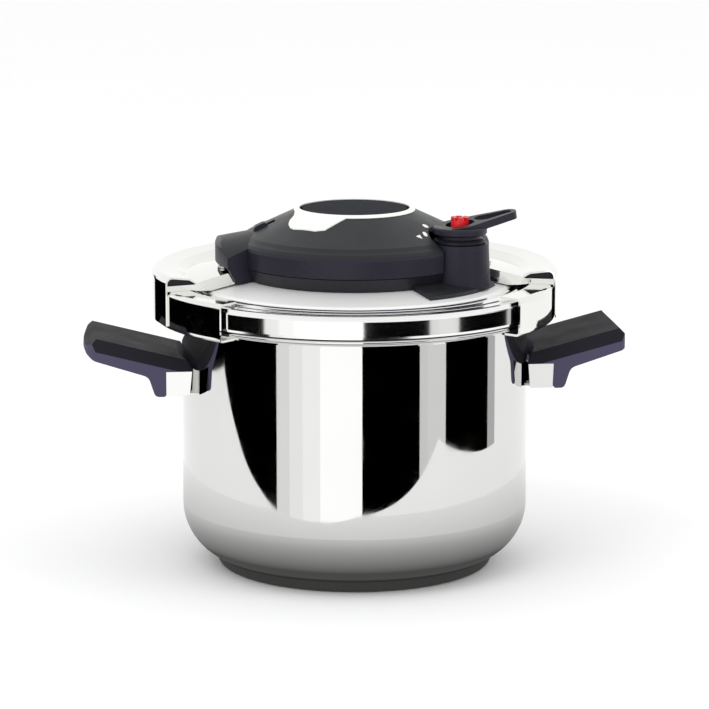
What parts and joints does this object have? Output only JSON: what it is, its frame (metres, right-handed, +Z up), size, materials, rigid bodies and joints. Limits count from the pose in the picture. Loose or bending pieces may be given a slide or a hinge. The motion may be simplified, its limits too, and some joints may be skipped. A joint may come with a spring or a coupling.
{
  "type": "pressure canner",
  "caption": "Stovetop pressure cooker with a clamped steel lid: sliding jaws grip the rim, a round button opens them, and a turning valve knob with a red indicator sets the pressure.",
  "frame": {"origin": "centre of the base's underside, where the pot stands", "axes": "+Z up along the pot's axis; X runs through both handles and both jaws; the front, with the valve at its right, is -Y"},
  "size_m": [0.351, 0.252, 0.2342],
  "materials": {
    "polished_steel": "mirror-polished stainless steel",
    "satin_steel": "satin stainless steel",
    "mechanism_steel": "plain bright steel",
    "base_aluminium": "bare",
    "black_plastic": "fine-grained satin",
    "button_plastic": "smooth satin",
    "red_plastic": "glossy",
    "ivory_trim": "satin",
    "gasket_rubber": "matte silicone",
    "valve_brass": "turned"
  },
  "bodies": {
    "pot": {"pot_shell": "polished_steel", "base_core": "base_aluminium", "base_cap": "satin_steel", "bracket_left": "polished_steel", "bracket_right": "polished_steel", "grip_left": "black_plastic", "grip_right": "black_plastic", "grip_screws": "mechanism_steel"},
    "lid": {"lid_shell": "polished_steel", "gasket": "gasket_rubber", "lower_housing": "black_plastic", "carrier_plate": "mechanism_steel", "centre_post": "mechanism_steel", "post_nut": "mechanism_steel", "thrust_washer": "mechanism_steel", "cover": "black_plastic", "trim_ring": "ivory_trim", "position_marks": "ivory_trim", "housing_screws": "mechanism_steel", "valve_tower": "black_plastic", "valve_seat": "valve_brass", "valve_nut": "mechanism_steel", "steam_filter": "mechanism_steel", "safety_body": "valve_brass", "safety_nut": "mechanism_steel", "safety_spring": "mechanism_steel", "button_spring": "mechanism_steel", "relief_spring": "mechanism_steel"},
    "jaw_left": {"jaw_left": "polished_steel", "jaw_cap_left": "polished_steel", "jaw_core_left": "black_plastic", "arm_left": "mechanism_steel", "cam_pin_left": "mechanism_steel", "arm_rivets_left": "mechanism_steel"},
    "jaw_right": {"jaw_right": "polished_steel", "jaw_cap_right": "polished_steel", "jaw_core_right": "black_plastic", "arm_right": "mechanism_steel", "cam_pin_right": "mechanism_steel", "arm_rivets_right": "mechanism_steel"},
    "cam": {"cam_plate": "mechanism_steel"},
    "button": {"button": "button_plastic"},
    "valve_knob": {"valve_knob": "black_plastic"},
    "indicator": {"red_indicator": "red_plastic"},
    "relief": {"relief_plunger": "mechanism_steel"},
    "lock": {"lock_slider": "black_plastic"},
    "safety": {"safety_plunger": "mechanism_steel"}
  },
  "joints": [
    {"name": "lid_lift", "type": "slide", "parent": "pot", "child": "lid", "axis": [0, 0, 1], "range_m": [0, 0.0018]},
    {"name": "jaw_left_slide", "type": "slide", "parent": "lid", "child": "jaw_left", "axis": [-1, 0, 0], "range_m": [0, 0.015]},
    {"name": "jaw_right_slide", "type": "slide", "parent": "lid", "child": "jaw_right", "axis": [1, 0, 0], "range_m": [0, 0.015]},
    {"name": "cam_turn", "type": "hinge", "parent": "lid", "child": "cam", "pos_m": [0, 0, 0.1955], "axis": [0, 0, 1], "range_deg": [0, 35]},
    {"name": "button_press", "type": "slide", "parent": "lid", "child": "button", "axis": [0, 0, -1], "range_m": [0, 0.006], "stiffness_N_per_m": 400, "springref_m": -0.01, "deforming": ["button_spring"]},
    {"name": "valve_turn", "type": "hinge", "parent": "lid", "child": "valve_knob", "pos_m": [0.06261, -0.04129, 0.22], "axis": [0, 0, 1], "range_deg": [-46, 0]},
    {"name": "indicator_rise", "type": "slide", "parent": "lid", "child": "indicator", "axis": [0, 0, 1], "range_m": [0, 0.004]},
    {"name": "relief_lift", "type": "slide", "parent": "lid", "child": "relief", "axis": [0, 0, 1], "range_m": [0, 0.002], "stiffness_N_per_m": 300, "springref_m": -0.004, "deforming": ["relief_spring"]},
    {"name": "lock_slide", "type": "slide", "parent": "lid", "child": "lock", "axis": [0.9042, 0, 0.4271], "range_m": [0, 0.005]},
    {"name": "safety_lift", "type": "slide", "parent": "lid", "child": "safety", "axis": [0, 0, 1], "range_m": [0, 0.0025], "stiffness_N_per_m": 200, "springref_m": -0.004, "deforming": ["safety_spring"]}
  ],
  "couplings": [
    {"joint": "jaw_right_slide", "follows": "jaw_left_slide", "ratio": 1},
    {"joint": "cam_turn", "follows": "jaw_left_slide", "rad_per_m": 40.724},
    {"joint": "button_press", "follows": "jaw_left_slide", "ratio": 0.4}
  ]
}
